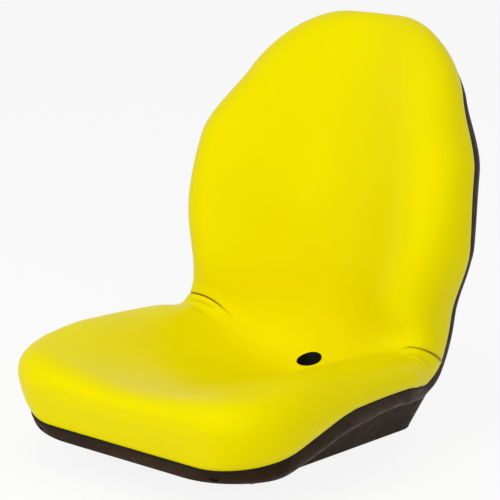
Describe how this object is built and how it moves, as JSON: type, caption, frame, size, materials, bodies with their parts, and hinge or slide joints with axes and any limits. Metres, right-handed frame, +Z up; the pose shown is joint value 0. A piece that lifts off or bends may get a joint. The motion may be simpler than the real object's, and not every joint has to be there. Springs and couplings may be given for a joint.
{
  "type": "utility vehicle seat",
  "caption": "High-back bucket seat of yellow vinyl over moulded foam, set in a black drawn steel pan with a drain and threaded mounting pads underneath.",
  "frame": {"origin": "centre of the four mounting holes, on the plane of the pads under the pan", "axes": "+Z up, -Y the way the sitter faces, +X to the left hand of the sitter"},
  "size_m": [0.518, 0.6745, 0.6209],
  "materials": {
    "vinyl": "smooth satin coated vinyl, yellow",
    "pan_coating": "black-brown semi-matt coating on drawn steel sheet",
    "strip_rubber": "matt black extruded strip",
    "black_plastic": "moulded black plastic",
    "nut_steel": "bright zinc plated steel"
  },
  "bodies": {
    "root": {"seat_cushion": "vinyl", "seat_pan": "pan_coating", "edge_strip": "strip_rubber", "drain_tube": "black_plastic", "switch_plug": "black_plastic", "mount_nuts": "nut_steel"}
  },
  "joints": []
}
